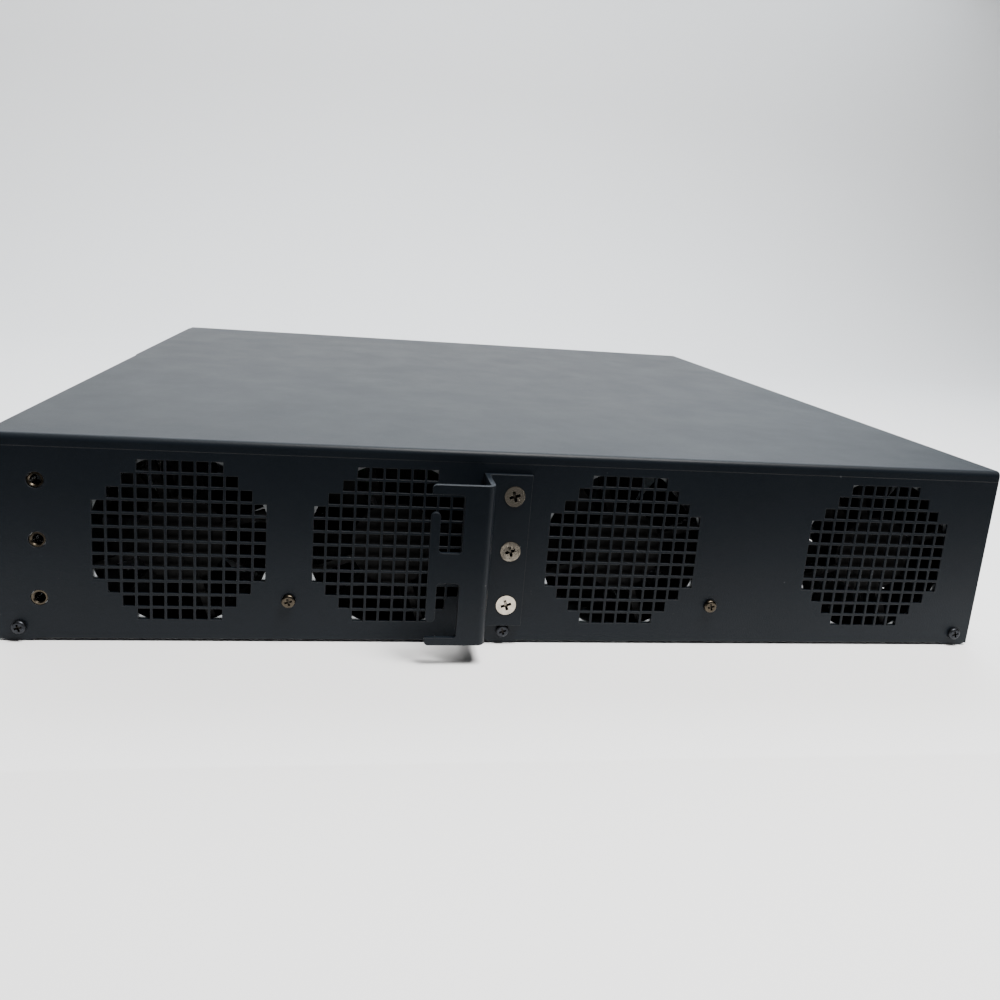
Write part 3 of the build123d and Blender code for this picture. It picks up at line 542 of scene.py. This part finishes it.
STICKER_MARGIN = (6 * MM, 14 * MM, 12 * MM)
STICKER_Z = (-0.02 * MM, 0.15 * MM)
DRIVE_PLUG_X = (12 * MM, 20 * MM)
DRIVE_PLUG_Y = (-0.1 * MM, 2.5 * MM)
DRIVE_PLUG_Z = (1 * MM, 5 * MM)
DRIVE_LAMP_EDGE = 3.5 * MM
DRIVE_LAMP_Z = 11 * MM
DRIVE_LAMP_R = 1 * MM
DRIVE_LAMP_OUT = 0.9 * MM


def drive_details():
    """A sticker and a plug on the drive, and a lamp at the end of its bezel."""
    low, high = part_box("drive")
    sticker, plug, lamp = Kit(), Kit(), Kit()
    side, front, back = STICKER_MARGIN
    sticker.box((low.x + side, low.y + front, high.z + STICKER_Z[0]),
                (high.x - side, high.y - back, high.z + STICKER_Z[1]), 0.04 * MM)
    sticker.piece("drive_sticker", STICKER, "drive_tray", "aluminium")
    plug.box((low.x + DRIVE_PLUG_X[0], high.y + DRIVE_PLUG_Y[0], low.z + DRIVE_PLUG_Z[0]),
             (high.x - DRIVE_PLUG_X[1], high.y + DRIVE_PLUG_Y[1], low.z + DRIVE_PLUG_Z[1]), 0.2 * MM)
    plug.piece("drive_plug", MATERIALS["black_plastic"], "drive_tray", "black_plastic")
    x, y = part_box("drive_tray")[1].x - DRIVE_LAMP_EDGE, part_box("drive_lever")[1].y
    base, top = (x, y - SUNK, DRIVE_LAMP_Z), (x, y - DRIVE_LAMP_OUT, DRIVE_LAMP_Z)
    lamp.round(base, top, DRIVE_LAMP_R, round_by=0.2 * MM)
    lamp.piece("drive_lamp", GREEN_LAMP, "drive_tray", "lens")


def console_jacks():
    """The insides of the console and management jacks, one jack to each solid of their node."""
    low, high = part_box("console_ports")
    for number, (x0, x1, _, _) in enumerate(solid_areas("console_ports"), 1):
        jack_low, jack_high = Vector((x0 + MM, low.y, low.z)), Vector((x1 - MM, high.y, high.z))
        jack_insides(f"console_jack_{number}", jack_low, jack_high, 1, 1)


jack_insides("module_jacks", *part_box("module_rj45_block"), 4, 2)
console_jacks()
fill_boards()
fan_plugs()
for letter in "ab":
    supply_details(letter)
drive_details()


# ---------------------------------------------------------------- floor, light and camera

def plain(name, value, roughness=0.6):
    """A plain grey surface with a faint unevenness."""
    s = Shader(name, Roughness=roughness)
    duller = rgb(value * 0.97, value * 0.975, value * 0.98)
    s.colour(s.mix(s.noise(3.0, 3.0), rgb(value, value, value), duller))
    return s.material


def backdrop():
    """A pale floor that curves up into a wall behind the appliance."""
    radius, steps = 0.5, 12
    reach, wall_x, height, half = 2.2, -1.3, 1.8, 3.0
    profile = [(reach, 0.0), (wall_x + radius, 0.0)]
    for i in range(1, steps + 1):
        angle = pi / 2 * i / steps
        profile.append((wall_x + radius - radius * sin(angle), radius - radius * cos(angle)))
    profile.append((wall_x, height))
    mesh = bpy.data.meshes.new("backdrop")
    verts = [(x, y, z) for x, z in profile for y in (-half, half)]
    faces = [(2 * i, 2 * i + 1, 2 * i + 3, 2 * i + 2) for i in range(len(profile) - 1)]
    mesh.from_pydata(verts, [], faces)
    mesh.shade_smooth()
    mesh.materials.append(plain("pale_floor", 0.86))
    floor = bpy.data.objects.new("backdrop", mesh)
    bpy.context.collection.objects.link(floor)


def area_light(name, place, target, size, power, colour=(1, 1, 1)):
    """A soft rectangular light at a place, aimed at a target."""
    light = bpy.data.lights.new(name, "AREA")
    light.shape = "RECTANGLE"
    light.size, light.size_y = size
    light.energy = power
    light.color = colour
    lamp = bpy.data.objects.new(name, light)
    lamp.location = place
    lamp.rotation_euler = (Vector(target) - Vector(place)).to_track_quat("-Z", "Y").to_euler()
    bpy.context.collection.objects.link(lamp)


def world(value):
    """A dim, slightly blue surround."""
    studio = bpy.data.worlds.new("studio")
    studio.use_nodes = True
    studio.node_tree.nodes["Background"].inputs[0].default_value = rgb(value, value * 1.02, value * 1.05)
    bpy.context.scene.world = studio


def camera():
    """Close wide-angle view of the fan side from a little above."""
    data = bpy.data.cameras.new("camera")
    data.sensor_width = 36.0
    data.lens = 31.09
    data.shift_x = 0.0106
    data.shift_y = -0.0548
    data.clip_start = 0.01
    view = bpy.data.objects.new("camera", data)
    view.location = (0.5774, -0.0849, 0.1704)
    view.rotation_euler = (radians(77.54), radians(-4.28), radians(81.63))
    bpy.context.collection.objects.link(view)
    bpy.context.scene.camera = view


def dark_card():
    """A black card on the floor in front, unseen itself, which gives the metal something dark to reflect."""
    mesh = bpy.data.meshes.new("dark_card")
    near, far, half, z = 0.312, 1.5, 1.3, 4 * MM
    verts = [(near, -half, z), (far, -half, z), (far, half, z), (near, half, z)]
    mesh.from_pydata(verts, [], [(0, 1, 2, 3)])
    mesh.materials.append(plain("black_card", 0.012, 0.9))
    card = bpy.data.objects.new("dark_card", mesh)
    card.visible_camera = False
    card.visible_shadow = False
    bpy.context.collection.objects.link(card)


backdrop()
dark_card()
world(0.04)
area_light("back_key", (-1.0, 0.1, 1.2), (0, 0, 0.1), (2.2, 1.0), 38, (0.84, 0.92, 1.0))
area_light("overhead", (0.46, 0.28, 1.35), (0.34, 0.10, 0), (0.4, 0.7), 58, (1.0, 0.985, 0.965))
area_light("left_fill", (-0.5, -1.3, 0.9), (0, -0.1, 0.05), (1.0, 0.6), 8)
camera()
